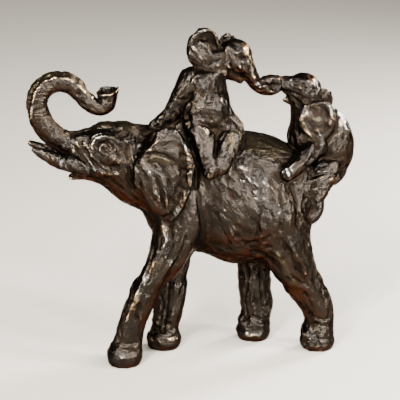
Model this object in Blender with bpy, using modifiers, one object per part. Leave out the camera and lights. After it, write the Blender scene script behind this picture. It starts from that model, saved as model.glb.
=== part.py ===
"""Bronze casting of a mother elephant walking with her trunk raised in a curl.

One calf sits on her back and the other climbs up behind, and the calves hold trunks.
The whole group is one casting, so it is one solid that stands on its four soles.

The pose is kept on a drawing sheet of 400 squares each way, which shows the group's left
side from a little in front and above. Each knot is placed by how far it lies across the
sheet, how far down, and how deep toward the far side, with its radius last. All four are
in squares, and a square is a share of the casting's height, so the figure keeps its
proportions when HEIGHT changes.
"""

import math

import bmesh
import bpy
import numpy as np
from mathutils import Matrix, Vector

# Driving sizes in metres, angles in degrees
HEIGHT = 0.336
SQUARE = HEIGHT / 336
SHEET_TURN = 15
SHEET_RISE = 16
SHEET_DISTANCE = 1600 * SQUARE
SHEET_CENTRE = 200
LOOK_AT = Vector((-14.5, 0, 161)) * SQUARE
MOTHER_EAR_THICKNESS = 0.0052
CALF_EAR_THICKNESS = 0.0042
FOOT_RADIUS = 0.0178
FOOT_HEIGHT = 0.015
NOSTRIL_RADIUS = 0.0078
NOSTRIL_DEPTH = 0.009
BLEND_CELL = 0.004
FINE_CELL = 0.002
TRIANGLES = 9600

# Mother's body, neck and upper legs, blended into one soft mass before the rest is added
MASS_LIMBS = {
    "neck": [(196, 176, 0, 47), (170, 170, 0, 44), (146, 167, 0, 43), (124, 159, 0, 37),
             (108, 153, 0, 31)],
    "throat": [(180, 204, 0, 33), (153, 189, 0, 24), (128, 178, 0, 17.5)],
    "back": [(180, 172, 0, 45), (215, 180, 0, 48), (250, 182, 0, 53), (277, 193, 0, 49)],
    "near front thigh": [(183, 205, -14, 32), (177, 232, -22, 25), (168, 254, -26, 20.5),
                         (155, 275, -26, 16), (143, 293, -22, 14.3)],
    "far front thigh": [(184, 218, 22, 32), (177, 245, 24, 20.5), (173, 268, 23.5, 17),
                        (172, 285, 23, 16)],
    "far hind thigh": [(262, 215, 20, 38), (257, 245, 24, 24), (254, 266, 24, 18.5),
                       (254, 280, 24, 17)],
    "near hind thigh": [(268, 212, -18, 41), (282, 238, -25, 31), (292.5, 263, -26, 24),
                        (302, 281, -24, 19.8)],
}
MASS_FLATNESS = {"neck": 0.8, "back": 0.86, "throat": 0.95}
MASS_BALLS = {
    "barrel": (238, 200, 0, 66, 50, 63, 0),
    "rump": (268, 203, 0, 39, 44, 56, 0),
    "shoulder": (192, 192, 0, 42, 40, 62, 0),
    "belly": (240, 223.5, 0, 50, 42, 41, 6),
    "chest": (173, 211, 0, 29, 30, 31, 0),
    "withers": (184, 132, -6, 20, 20, 17, 0),
    "nape": (140, 137, 0, 18, 16, 14, 0),
}

# Limbs: knots of across, down, depth, radius
LIMBS = {
    "trunk": [(106, 149, 0, 26.5), (90, 145.2, 0, 19.3), (78, 143, 0, 13.6),
              (66, 141.3, 0, 10.8), (54, 135.5, 0, 10.6), (45, 126.5, 0, 10.4),
              (39, 115, 0, 10.2), (37.2, 103, 0, 9.9), (40, 92, 0, 10),
              (49, 84, 0, 9.8), (60, 81.4, 0, 9.6), (71, 84.5, -1, 9.2),
              (79.5, 92, -2, 8.5), (87, 100.5, -3, 7.9), (95.5, 106.8, -4, 7.4),
              (103.5, 107, -5, 7.4), (107.3, 102.5, -5.4, 7.7)],
    "lower jaw": [(118, 175, 0, 17), (100, 173.5, 0, 11), (86, 174.5, 0, 5.2),
                  (78, 176, 0, 3.6), (72, 176.6, 0, 3.2)],
    "near tusk": [(86, 167, -14, 9), (70, 163, -14, 8.4), (58, 160.5, -14, 7.2),
                  (45, 155, -13, 5.3), (38, 152, -12.5, 3.6), (34, 149.8, -12, 2.2)],
    "far tusk": [(84, 163, 14, 8), (60, 155, 14, 6.6), (46, 149.5, 12, 4.8),
                 (38, 146, 11.5, 3.8), (30.5, 143.2, 11, 2.6)],
    "near front leg": [(145.5, 290, -22.5, 14.6), (138, 308, -19, 14.3), (131.5, 325, -16, 13.6),
                       (128.5, 338, -15, 14), (126, 350, -14.2, 16.6)],
    "far front leg": [(172, 283, 23, 16), (170, 300, 22.5, 15.4), (167.2, 313, 22, 15),
                      (165, 325, 22, 14), (164.5, 334, 21.5, 15.6)],
    "far hind leg": [(254, 276, 24, 17.6), (255, 291, 24, 17), (256.5, 302, 24, 17),
                     (256, 313, 23.5, 16.2), (254, 322, 23.5, 17.2)],
    "near hind leg": [(301, 279, -24, 19.6), (308.5, 290.5, -23, 18), (315, 301, -22, 17),
                      (318.5, 313, -21.5, 15.4), (319, 321, -21, 15.2), (317, 332, -21, 17)],
    "tail": [(300, 176, 3, 9), (304, 206, 4, 8), (303, 232, 6, 6.5), (299, 256, 7, 5.4),
             (295, 272, 8, 6), (291, 286, 8, 3.4)],
    "sitting neck": [(205, 88, -10, 17), (211, 72, -10, 14), (222, 66, -10, 13)],
    "sitting trunk": [(238, 60, -10, 14), (246, 69, -9.5, 10), (251.5, 77, -9, 7.2),
                      (256, 84, -8, 6.2), (262, 88.5, -7, 5.6), (268.5, 90.5, -6, 5.2),
                      (275, 89, -5, 4.8), (279.5, 84.5, -5, 4.4), (279, 79, -6, 4)],
    "sitting jaw": [(226, 70, -10, 8.5), (234, 76, -10, 4.8), (240.5, 80.5, -10, 2.8)],
    "sitting right arm": [(192, 79, -8, 12.6), (183.5, 91, -10, 10), (176, 105, -9, 8.6),
                          (169, 117, -6, 8.5), (161, 122.5, -4, 7.6), (154.5, 125, -3, 6)],
    "sitting left arm": [(213, 80, -4, 12), (219.5, 96, 0, 8.8), (225, 111, 2, 8.2),
                         (232, 122.5, 1, 8), (238, 128, 0, 7)],
    "sitting right leg": [(196, 126, -22, 13), (205, 140, -32, 10.3), (207, 151, -38, 8),
                          (208, 163, -42, 7.2), (210, 172, -45, 7.8)],
    "sitting left leg": [(220, 125, -20, 12), (233, 138, -30, 9.4), (231, 148, -36, 8.2),
                         (226, 159, -41, 7.6), (222, 167, -44, 7.8)],
    "climbing neck": [(306, 94, 0, 16), (308, 118, 0, 17.5), (309.5, 136, 0, 22.5)],
    "climbing trunk": [(303, 89, 0, 16), (291, 86, 0, 10.6), (284, 83, -2, 7.4),
                       (276, 80.5, -4, 5.6), (268, 80.5, -5, 5), (261, 83, -6, 4.5),
                       (259, 88, -7, 3.8)],
    "climbing jaw": [(297, 98, 0, 8), (290, 100.5, 0, 4), (285, 99.6, 0, 2.2)],
    "climbing near arm": [(316, 146, -14, 12.5), (305, 157, -26, 9.8), (295, 167, -35, 8.4),
                          (287, 173, -39, 7.8)],
    "climbing far arm": [(316, 146, 14, 12.5), (305, 150, 26, 9.8), (295, 156, 35, 8.4),
                         (287, 161, 39, 7.8)],
    "climbing near leg": [(325, 170, -14, 16), (319, 186, -25, 12), (316, 200, -29, 9.4),
                          (313.5, 213, -31, 8.8), (304, 218, -34, 7.4)],
    "climbing far leg": [(325, 170, 14, 16), (319, 180, 25, 12), (316, 190, 29, 9.4),
                         (313.5, 200, 31, 8.8), (304, 206, 34, 7.4)],
}

# Balls: across, down, depth, three radii, pitch in degrees
BALLS = {
    "brow": (123, 142.5, 0, 27, 25, 20.5, 0),
    "near cheek": (106, 163, -14, 24, 11, 15, 0),
    "far cheek": (106, 163, 14, 24, 11, 15, 0),
    "sitting belly": (206, 110, -16, 24, 19, 25, 0),
    "sitting chest": (203, 88, -10, 18, 15, 22, 0),
    "sitting skull": (234.5, 56.5, -10, 17, 14, 17, 0),
    "climbing skull": (303.5, 90.5, 0, 18, 15, 17.5, 0),
    "climbing back": (328.5, 141, 0, 26, 22, 37, -14),
    "climbing hip": (326, 166, 0, 21, 22, 21, 0),
}

# Feet: across, down and depth of the middle of the ball that ends each leg
FEET = {
    "near front foot": (124.5, 355, -14),
    "far front foot": (163.8, 338, 21.5),
    "far hind foot": (253, 329, 23),
    "near hind foot": (317, 339, -21),
}

# Ears: rim knots across and down, depth of the front and rear edge, dish, then folds and
# hollows of the leaf: across, down, half length, half width, turn in degrees, rise
EARS = {
    "mother near ear": (
        [(146, 137), (158, 129.5), (170, 128.5), (180, 137), (188, 149), (193, 162),
         (192.5, 178), (192, 190), (187, 201), (180, 213), (171, 221), (160, 214),
         (150, 203), (141, 190), (138, 172), (140, 152)], -33, -51, 4,
        [(160, 143, 20, 8, -12, 6), (164, 166, 18, 12, 20, -6), (146, 178, 6, 24, 6, 4)]),
    "mother far ear": (
        [(150, 131), (156, 121), (164, 115), (174, 117), (183, 128), (189, 141),
         (192, 156), (190, 172), (184, 186), (174, 194), (160, 188), (150, 176),
         (144, 160), (143, 145)], 31, 47, -4,
        [(164, 130, 20, 8, -12, -6), (168, 150, 18, 12, 20, 6)]),
    "sitting right ear": (
        [(219, 44), (215, 33), (208, 28.5), (199, 29.5), (191, 36), (188, 46), (188, 56),
         (191, 63), (200, 68), (211, 68), (219, 64), (223, 54)], -13, -10, 3,
        [(210, 45, 8, 10, 0, -4)]),
    "sitting left ear": (
        [(219, 44), (222, 37), (227, 33.5), (233, 35.5), (238, 42), (238, 54),
         (228, 54)], 0, 8, -1, []),
    "climbing near ear": (
        [(301, 107), (310, 104), (320, 101.5), (329, 103), (334, 111), (335.5, 120),
         (333, 129), (326, 137), (317, 140), (308, 139), (302, 133), (298.5, 124)],
        -16, -24, 3, [(315, 112, 8, 9, 0, -5)]),
    "climbing far ear": (
        [(314, 92), (322, 88.5), (329, 91), (332, 97), (331, 106), (324, 116),
         (316, 112)], 17, 23, -1, []),
}

# Carving of the near side, in squares: knots across and down, width, rise, depth range
CARVING = [
    ([(105, 147), (106, 147)], 10, -3.2, -60, 0),
    ([(105, 147), (106, 147)], 4.2, 3.2, -60, 0),
    ([(97, 139), (105, 136), (114, 139)], 4, 1.6, -60, 0),
    ([(119, 135), (127, 133)], 7, -2.2, -60, 0),
    ([(82, 131), (95, 127.5), (110, 128.5), (130, 128)], 3.5, -1.4, -60, 6),
    ([(104, 162), (114, 162)], 6, 2.4, -60, 0),
    ([(76, 172.5), (88, 172), (100, 169), (110, 172)], 3.4, -2.2, -60, 0),
    ([(64, 151.5), (80, 155), (92, 158)], 3.5, -1.6, -60, 0),
    ([(120, 170), (127, 180), (133, 190)], 5, -1.8, -60, 0),
    ([(199, 205), (203, 222), (202, 240)], 6, -2.8, -70, -5),
    ([(160, 230), (172, 246), (170, 262)], 5, -1.6, -70, -5),
    ([(262, 205), (272, 222), (276, 242), (270, 258)], 6, -2.4, -70, -5),
    ([(290, 190), (300, 212), (300, 232)], 5, -2.4, -70, -5),
    ([(152, 282), (143, 300), (138, 318)], 3.5, -1.5, -70, 0),
    ([(305, 283), (316, 300)], 3.5, -1.4, -70, 0),
    ([(236, 60), (237, 60)], 5, -1.8, -60, -12),
    ([(236, 60), (237, 60)], 2.2, 1.6, -60, -12),
    ([(302, 88), (303, 88)], 5, -1.8, -60, -4),
    ([(302, 88), (303, 88)], 2.2, 1.6, -60, -4),
    ([(196, 128), (206, 132), (222, 128)], 4, -2, -60, -10),
    ([(326, 152), (318, 160), (322, 172)], 4, -1.8, -60, -6),
]


def sheet_axes():
    turn = math.radians(SHEET_TURN)
    rise = math.radians(SHEET_RISE)
    back = Vector((-math.sin(turn) * math.cos(rise), -math.cos(turn) * math.cos(rise),
                   math.sin(rise)))
    right = Vector((math.cos(turn), -math.sin(turn), 0))
    return back, right, back.cross(right)


def sheet_point(across, down, depth):
    """The point that shows at one place on the sheet and lies at a depth of its own."""
    back, right, up = sheet_axes()
    eye = LOOK_AT + back * SHEET_DISTANCE
    ray = (-back * SHEET_DISTANCE + right * (across - SHEET_CENTRE) * SQUARE
           + up * (SHEET_CENTRE - down) * SQUARE)
    return eye + ray * ((depth * SQUARE - eye.y) / ray.y)


def on_sheet(points):
    """Across and down of many points at once, the other way round."""
    back, right, up = (np.array(axis) for axis in sheet_axes())
    offset = points - np.array(LOOK_AT) - back * SHEET_DISTANCE
    away = -(offset @ back)
    across = SHEET_CENTRE + SHEET_DISTANCE / SQUARE * (offset @ right) / away
    down = SHEET_CENTRE - SHEET_DISTANCE / SQUARE * (offset @ up) / away
    return np.stack((across, down), axis=1)


def new_object(name, data, collection):
    made = bpy.data.objects.new(name, data)
    collection.objects.link(made)
    return made


def baked(source, name, collection):
    """A plain mesh of an object as its modifiers leave it."""
    graph = bpy.context.evaluated_depsgraph_get()
    mesh = bpy.data.meshes.new_from_object(source.evaluated_get(graph))
    bpy.data.objects.remove(source)
    return new_object(name, mesh, collection)


def ball(name, across, down, depth, long, wide, high, pitch, collection):
    bpy.ops.mesh.primitive_uv_sphere_add(segments=32, ring_count=20, radius=SQUARE)
    made = bpy.context.object
    made.name = name
    place = Matrix.Translation(sheet_point(across, down, depth))
    turn = Matrix.Rotation(math.radians(pitch), 4, "Y")
    made.data.transform(place @ turn @ Matrix.Diagonal((long, wide, high, 1)))
    for old in made.users_collection:
        old.objects.unlink(made)
    collection.objects.link(made)
    return made


def limb(name, knots, collection, flat_end=False, flatness=1.0):
    """A round limb through its knots, with a ball at each end unless the last is flat."""
    curve = bpy.data.curves.new(name, "CURVE")
    curve.dimensions = "3D"
    curve.bevel_depth = SQUARE
    curve.bevel_resolution = 5
    curve.use_fill_caps = True
    spline = curve.splines.new("BEZIER")
    spline.resolution_u = 6
    spline.radius_interpolation = "CARDINAL"
    spline.bezier_points.add(len(knots) - 1)
    for knot, (across, down, depth, radius) in zip(spline.bezier_points, knots):
        knot.co = sheet_point(across, down, depth)
        knot.radius = radius
        knot.handle_left_type = "AUTO"
        knot.handle_right_type = "AUTO"
    made = [new_object(name, curve, collection)]
    ends = knots[:1] if flat_end else (knots[0], knots[-1])
    for across, down, depth, radius in ends:
        made.append(ball(name + " end", across, down, depth, radius, radius, radius, 0,
                         collection))
    for part in made:
        part.scale.y = flatness
    return made


def rounded_loop(knots, steps):
    """Points along a closed curve through the knots."""
    points = []
    count = len(knots)
    for index in range(count):
        a, b, c, d = (np.array(knots[(index + shift) % count], float)
                      for shift in (-1, 0, 1, 2))
        for step in range(steps):
            t = step / steps
            points.append(0.5 * (2 * b + (c - a) * t + (2 * a - 5 * b + 4 * c - d) * t ** 2
                                 + (3 * b - a - 3 * c + d) * t ** 3))
    return points


def ear(name, rim, front, rear, dish, folds, thickness, collection):
    """A leaf lofted from its middle to its rim, dished and folded, then thickened."""
    first = rim[0][0]
    far = max((knot[0] for knot in rim), key=lambda across: abs(across - first))

    def leaf_point(across, down, share):
        depth = front + (rear - front) * abs(across - first) / abs(far - first)
        depth += dish * (1 - share ** 2.5)
        for x, y, half_length, half_width, turn, rise in folds:
            angle = math.radians(turn)
            along = (across - x) * math.cos(angle) + (down - y) * math.sin(angle)
            aside = (down - y) * math.cos(angle) - (across - x) * math.sin(angle)
            near = (along / half_length) ** 2 + (aside / half_width) ** 2
            depth -= rise * math.exp(-1.5 * near) * (1 - share ** 6)
        return sheet_point(across, down, depth)

    middle = np.mean(np.array(rim, float), axis=0)
    loop = rounded_loop(rim, 4)
    shell = bmesh.new()
    centre = shell.verts.new(leaf_point(middle[0], middle[1], 0))
    rings = []
    for ring in range(1, 11):
        share = ring / 10
        places = [middle * (1 - share) + point * share for point in loop]
        rings.append([shell.verts.new(leaf_point(x, y, share)) for x, y in places])
    for index in range(len(loop)):
        after = (index + 1) % len(loop)
        shell.faces.new((centre, rings[0][index], rings[0][after]))
        for inner, outer in zip(rings, rings[1:]):
            shell.faces.new((inner[index], outer[index], outer[after], inner[after]))
    bmesh.ops.recalc_face_normals(shell, faces=shell.faces)
    mesh = bpy.data.meshes.new(name)
    shell.to_mesh(mesh)
    shell.free()
    made = new_object(name, mesh, collection)
    solid = made.modifiers.new("Thickness", "SOLIDIFY")
    solid.thickness = thickness
    solid.offset = 0
    return made


def blended(name, parts, cell, passes, collection):
    """Run many overlapping parts into one closed skin and smooth the joins."""
    graph = bpy.context.evaluated_depsgraph_get()
    gathered = bmesh.new()
    for part in parts:
        copy = bpy.data.meshes.new_from_object(part.evaluated_get(graph))
        copy.transform(part.matrix_world)
        gathered.from_mesh(copy)
        bpy.data.meshes.remove(copy)
    mesh = bpy.data.meshes.new(name)
    gathered.to_mesh(mesh)
    gathered.free()
    for part in parts:
        bpy.data.objects.remove(part)
    made = new_object(name, mesh, collection)
    skin = made.modifiers.new("One skin", "REMESH")
    skin.mode = "VOXEL"
    skin.voxel_size = cell
    smooth = made.modifiers.new("Soft joins", "SMOOTH")
    smooth.factor = 0.5
    smooth.iterations = passes
    return baked(made, name, collection)


def distance_to(path, places):
    nearest = np.full(len(places), 1e9)
    for start, end in zip(path, path[1:]):
        a = np.array(start, float)
        edge = np.array(end, float) - a
        share = np.clip((places - a) @ edge / (edge @ edge), 0, 1)
        gap = np.linalg.norm(places - a - share[:, None] * edge, axis=1)
        nearest = np.minimum(nearest, gap)
    return nearest


def carve(mesh, strokes):
    """Sink or raise the near side along each stroke, and the mother's head alike on both."""
    count = len(mesh.vertices)
    points = np.empty(count * 3)
    mesh.vertices.foreach_get("co", points)
    points = points.reshape(-1, 3)
    normals = np.empty(count * 3)
    mesh.vertex_normals.foreach_get("vector", normals)
    normals = normals.reshape(-1, 3)
    start = points.copy()
    for side in (1, -1):
        turned = start * np.array((1, side, 1))
        places = on_sheet(turned)
        facing = np.clip(-normals[:, 1] * side * 1.6, 0, 1)
        for path, width, rise, nearest, farthest in strokes:
            if side < 0 and path[0][0] > 134:
                continue
            depth = turned[:, 1] / SQUARE
            inside = (depth > nearest) & (depth < farthest)
            fade = np.clip(1 - distance_to(path, places) / width, 0, 1)
            fade = fade * fade * (3 - 2 * fade) * facing * inside
            points += normals * (fade * rise * SQUARE)[:, None]
    mesh.vertices.foreach_set("co", points.ravel())
    mesh.update()


def bronze():
    made = bpy.data.materials.new("Dark bronze")
    made.use_nodes = True
    shader = made.node_tree.nodes["Principled BSDF"]
    shader.inputs["Base Color"].default_value = (0.075, 0.045, 0.028, 1)
    shader.inputs["Metallic"].default_value = 0.9
    shader.inputs["Roughness"].default_value = 0.36
    return made


def cutter(name, radius_low, radius_high, low, high, across, collection):
    """A hidden cone that stands on the heights given, to be taken from the casting."""
    bpy.ops.mesh.primitive_cone_add(vertices=24, radius1=radius_low, radius2=radius_high,
                                    depth=high - low)
    made = bpy.context.object
    made.name = name
    made.data.transform(Matrix.Translation((across.x, across.y, (low + high) / 2)))
    made.hide_render = True
    made.display_type = "WIRE"
    for old in made.users_collection:
        old.objects.unlink(made)
    collection.objects.link(made)
    return made


def build():
    for old in list(bpy.data.objects):
        bpy.data.objects.remove(old)
    parts = bpy.data.collections.new("Elephant family")
    cutters = bpy.data.collections.new("Cutters")
    bpy.context.scene.collection.children.link(parts)
    bpy.context.scene.collection.children.link(cutters)

    soft = []
    for name, knots in MASS_LIMBS.items():
        soft += limb(name, knots, parts, flatness=MASS_FLATNESS.get(name, 1.0))
    for name, sizes in MASS_BALLS.items():
        soft.append(ball(name, *sizes, parts))
    pieces = [blended("mass", soft, BLEND_CELL, 22, parts)]
    for name, knots in LIMBS.items():
        pieces += limb(name, knots, parts)
    for name, sizes in BALLS.items():
        pieces.append(ball(name, *sizes, parts))
    foot = FOOT_RADIUS / SQUARE
    for name, (across, down, depth) in FEET.items():
        pieces.append(ball(name, across, down, depth, foot, foot, FOOT_HEIGHT / SQUARE, 0,
                           parts))
    for name, sizes in EARS.items():
        thick = MOTHER_EAR_THICKNESS if name.startswith("mother") else CALF_EAR_THICKNESS
        pieces.append(ear(name, *sizes, thick, parts))
    bell = [(107.3, 104, -5.4, 7.6), (107.3, 97, -5.4, 8.8), (107.3, 88.8, -5.4, 11)]
    pieces += limb("trunk bell", bell, parts, flat_end=True)

    family = blended("skin", pieces, FINE_CELL, 6, parts)
    carve(family.data, CARVING)
    fewer = family.modifiers.new("Fewer triangles", "DECIMATE")
    flat = family.modifiers.new("All triangles", "TRIANGULATE")
    flat.quad_method = "BEAUTY"
    bpy.context.view_layer.update()
    quads = len(family.data.polygons)
    fewer.ratio = TRIANGLES / (2 * quads)
    family = baked(family, "elephant_family", parts)
    family.data.name = "elephant_family"

    low = Vector([min(v.co[axis] for v in family.data.vertices) for axis in range(3)])
    high = Vector([max(v.co[axis] for v in family.data.vertices) for axis in range(3)])
    centre = Vector(((low.x + high.x) / 2, (low.y + high.y) / 2, 0))
    family.data.transform(Matrix.Translation(-centre))
    mouth = sheet_point(*bell[-1][:3]) - centre
    reach = high.x - low.x
    cuts = [
        cutter("ground", reach, reach, -HEIGHT / 4, 0, Vector((0, 0, 0)), cutters),
        cutter("nostril", NOSTRIL_RADIUS * 0.35, NOSTRIL_RADIUS * 1.12,
               mouth.z - NOSTRIL_DEPTH, mouth.z + NOSTRIL_DEPTH * 0.4, mouth, cutters),
    ]
    for tool in cuts:
        cut = family.modifiers.new("Cut " + tool.name, "BOOLEAN")
        cut.operation = "DIFFERENCE"
        cut.solver = "EXACT"
        cut.object = tool
    family.data.materials.clear()
    family.data.materials.append(bronze())
    for face in family.data.polygons:
        face.use_smooth = True


build()
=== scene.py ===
"""Finished look of the elephant family: one bronze casting with its tool marks and patina.

The casting is modelled again on the drawing sheet of the part, with the same limbs, balls
and ears in a finer skin, and the sculptor's marks are then pressed into it. Across and down
on the sheet, depths and radii are all in squares, and a square is a share of the height.
"""

import math

import bmesh
import bpy
import numpy as np
from mathutils import Matrix, Vector, kdtree


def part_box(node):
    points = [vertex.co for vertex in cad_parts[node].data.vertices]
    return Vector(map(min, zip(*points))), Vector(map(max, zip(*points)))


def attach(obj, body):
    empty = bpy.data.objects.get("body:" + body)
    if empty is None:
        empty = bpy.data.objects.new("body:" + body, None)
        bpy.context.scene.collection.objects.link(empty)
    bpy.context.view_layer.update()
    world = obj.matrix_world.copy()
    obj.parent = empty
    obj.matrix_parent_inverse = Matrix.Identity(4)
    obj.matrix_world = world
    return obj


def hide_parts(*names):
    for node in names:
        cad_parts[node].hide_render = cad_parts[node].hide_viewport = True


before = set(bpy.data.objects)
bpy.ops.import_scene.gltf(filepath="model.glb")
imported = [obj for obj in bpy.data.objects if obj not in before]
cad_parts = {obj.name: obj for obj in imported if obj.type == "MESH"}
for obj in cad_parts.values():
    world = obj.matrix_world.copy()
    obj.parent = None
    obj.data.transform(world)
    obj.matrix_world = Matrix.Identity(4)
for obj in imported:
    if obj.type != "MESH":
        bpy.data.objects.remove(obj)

# Sizes in metres, angles in degrees, and the drawing sheet in squares
NODE = "elephant_family"
CAD_LOW, CAD_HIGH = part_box(NODE)
HEIGHT = CAD_HIGH.z - CAD_LOW.z
SQUARES_HIGH = 336
SQUARE = HEIGHT / SQUARES_HIGH
SHEET_WIDTH = 400
SHEET_CENTRE = SHEET_WIDTH / 2
SHEET_TURN = 15
SHEET_RISE = 16
SHEET_DISTANCE = 1600 * SQUARE
LOOK_AT = Vector((-14.5, 0, 161)) * SQUARE
MOTHER_EAR_THICKNESS = 0.0052
CALF_EAR_THICKNESS = 0.0042
FOOT_RADIUS = 0.0178
FOOT_HEIGHT = 0.015
NOSTRIL_RADIUS = 0.0084
NOSTRIL_DEPTH = 0.013
BLEND_CELL = 0.004
SKIN_CELL = 0.00115
TRIANGLES = 196000
BALL_SEGMENTS = 48
BALL_RINGS = 28
TUBE_RESOLUTION = 7
TUBE_STEPS = 10
EAR_STEPS = 8
EAR_RINGS = 24
MASS_PASSES = 22
SKIN_PASSES = 4

# Mother's body, neck and upper legs, blended into one soft mass before the rest is added
MASS_LIMBS = {
    "neck": [(196, 176, 0, 47), (170, 170, 0, 44), (146, 167, 0, 43), (124, 159, 0, 37),
             (108, 153, 0, 31)],
    "throat": [(180, 204, 0, 33), (153, 189, 0, 24), (128, 178, 0, 17.5)],
    "back": [(180, 172, 0, 45), (215, 180, 0, 48), (250, 182, 0, 53), (277, 193, 0, 49)],
    "near front thigh": [(183, 205, -14, 32), (177, 232, -22, 25), (168, 254, -26, 20.5),
                         (155, 275, -26, 16), (143, 293, -22, 14.3)],
    "far front thigh": [(184, 218, 22, 32), (177, 245, 24, 20.5), (173, 268, 23.5, 17),
                        (172, 285, 23, 16)],
    "far hind thigh": [(262, 215, 20, 38), (257, 245, 24, 24), (254, 266, 24, 18.5),
                       (254, 280, 24, 17)],
    "near hind thigh": [(268, 212, -18, 41), (282, 238, -25, 31), (292.5, 263, -26, 24),
                        (302, 281, -24, 19.8)],
}
MASS_FLATNESS = {"neck": 0.8, "back": 0.86, "throat": 0.95}
MASS_BALLS = {
    "barrel": (238, 200, 0, 66, 50, 63, 0),
    "rump": (268, 203, 0, 39, 44, 56, 0),
    "shoulder": (192, 192, 0, 42, 40, 62, 0),
    "belly": (240, 223.5, 0, 50, 42, 41, 6),
    "chest": (173, 211, 0, 29, 30, 31, 0),
    "withers": (184, 132, -6, 20, 20, 17, 0),
    "nape": (140, 137, 0, 18, 16, 14, 0),
}

# Limbs: knots of across, down, depth, radius
LIMBS = {
    "trunk": [(106, 149, 0, 26.5), (90, 145.2, 0, 19.3), (78, 143, 0, 13.6),
              (66, 141.3, 0, 10.8), (54, 135.5, 0, 10.6), (45, 126.5, 0, 10.4),
              (39, 115, 0, 10.2), (37.2, 103, 0, 9.9), (40, 92, 0, 10),
              (49, 84, 0, 9.8), (60, 81.4, 0, 9.6), (71, 84.5, -1, 9.2),
              (79.5, 92, -2, 8.5), (87, 100.5, -3, 7.9), (95.5, 106.8, -4, 7.4),
              (103.5, 107, -5, 7.4), (107.3, 102.5, -5.4, 7.7)],
    "lower jaw": [(118, 175, 0, 17), (100, 173.5, 0, 11), (86, 174.5, 0, 5.2),
                  (78, 176, 0, 3.6), (72, 176.6, 0, 3.2)],
    "near tusk": [(86, 167, -14, 9), (70, 163, -14, 8.4), (58, 160.5, -14, 7.2),
                  (45, 155, -13, 5.3), (38, 152, -12.5, 3.6), (34, 149.8, -12, 2.2)],
    "far tusk": [(84, 163, 14, 8), (60, 155, 14, 6.6), (46, 149.5, 12, 4.8),
                 (38, 146, 11.5, 3.8), (30.5, 143.2, 11, 2.6)],
    "near front leg": [(145.5, 290, -22.5, 14.6), (138, 308, -19, 14.3), (131.5, 325, -16, 13.6),
                       (128.5, 338, -15, 14), (126, 350, -14.2, 16.6)],
    "far front leg": [(172, 283, 23, 16), (170, 300, 22.5, 15.4), (167.2, 313, 22, 15),
                      (165, 325, 22, 14), (164.5, 334, 21.5, 15.6)],
    "far hind leg": [(254, 276, 24, 17.6), (255, 291, 24, 17), (256.5, 302, 24, 17),
                     (256, 313, 23.5, 16.2), (254, 322, 23.5, 17.2)],
    "near hind leg": [(301, 279, -24, 19.6), (308.5, 290.5, -23, 18), (315, 301, -22, 17),
                      (318.5, 313, -21.5, 15.4), (319, 321, -21, 15.2), (317, 332, -21, 17)],
    "tail": [(300, 176, 3, 9), (304, 206, 4, 8), (303, 232, 6, 6.5), (299, 256, 7, 5.4),
             (295, 272, 8, 6), (291, 286, 8, 3.4)],
    "sitting neck": [(205, 88, -10, 17), (211, 72, -10, 14), (222, 66, -10, 13)],
    "sitting trunk": [(238, 60, -10, 14), (246, 69, -9.5, 10), (251.5, 77, -9, 7.2),
                      (256, 84, -8, 6.2), (262, 88.5, -7, 5.6), (268.5, 90.5, -6, 5.2),
                      (275, 89, -5, 4.8), (279.5, 84.5, -5, 4.4), (279, 79, -6, 4)],
    "sitting jaw": [(226, 70, -10, 8.5), (234, 76, -10, 4.8), (240.5, 80.5, -10, 2.8)],
    "sitting right arm": [(192, 79, -8, 12.6), (183.5, 91, -10, 10), (176, 105, -9, 8.6),
                          (169, 117, -6, 8.5), (161, 122.5, -4, 7.6), (154.5, 125, -3, 6)],
    "sitting left arm": [(213, 80, -4, 12), (219.5, 96, 0, 8.8), (225, 111, 2, 8.2),
                         (232, 122.5, 1, 8), (238, 128, 0, 7)],
    "sitting right leg": [(196, 126, -22, 13), (205, 140, -32, 10.3), (207, 151, -38, 8),
                          (208, 163, -42, 7.2), (210, 172, -45, 7.8)],
    "sitting left leg": [(220, 125, -20, 12), (233, 138, -30, 9.4), (231, 148, -36, 8.2),
                         (226, 159, -41, 7.6), (222, 167, -44, 7.8)],
    "climbing neck": [(306, 94, 0, 16), (308, 118, 0, 17.5), (309.5, 136, 0, 22.5)],
    "climbing trunk": [(303, 89, 0, 16), (291, 86, 0, 10.6), (284, 83, -2, 7.4),
                       (276, 80.5, -4, 5.6), (268, 80.5, -5, 5), (261, 83, -6, 4.5),
                       (259, 88, -7, 3.8)],
    "climbing jaw": [(297, 98, 0, 8), (290, 100.5, 0, 4), (285, 99.6, 0, 2.2)],
    "climbing near arm": [(316, 146, -14, 12.5), (305, 157, -26, 9.8), (295, 167, -35, 8.4),
                          (287, 173, -39, 7.8)],
    "climbing far arm": [(316, 146, 14, 12.5), (305, 150, 26, 9.8), (295, 156, 35, 8.4),
                         (287, 161, 39, 7.8)],
    "climbing near leg": [(325, 170, -14, 16), (319, 186, -25, 12), (316, 200, -29, 9.4),
                          (313.5, 213, -31, 8.8), (304, 218, -34, 7.4)],
    "climbing far leg": [(325, 170, 14, 16), (319, 180, 25, 12), (316, 190, 29, 9.4),
                         (313.5, 200, 31, 8.8), (304, 206, 34, 7.4)],
}

# Balls: across, down, depth, three radii, pitch in degrees
BALLS = {
    "brow": (123, 142.5, 0, 27, 25, 20.5, 0),
    "near cheek": (106, 163, -14, 24, 11, 15, 0),
    "far cheek": (106, 163, 14, 24, 11, 15, 0),
    "sitting belly": (206, 110, -16, 24, 19, 25, 0),
    "sitting chest": (203, 88, -10, 18, 15, 22, 0),
    "sitting skull": (234.5, 56.5, -10, 17, 14, 17, 0),
    "climbing skull": (303.5, 90.5, 0, 18, 15, 17.5, 0),
    "climbing back": (328.5, 141, 0, 26, 22, 37, -14),
    "climbing hip": (326, 166, 0, 21, 22, 21, 0),
}

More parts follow.
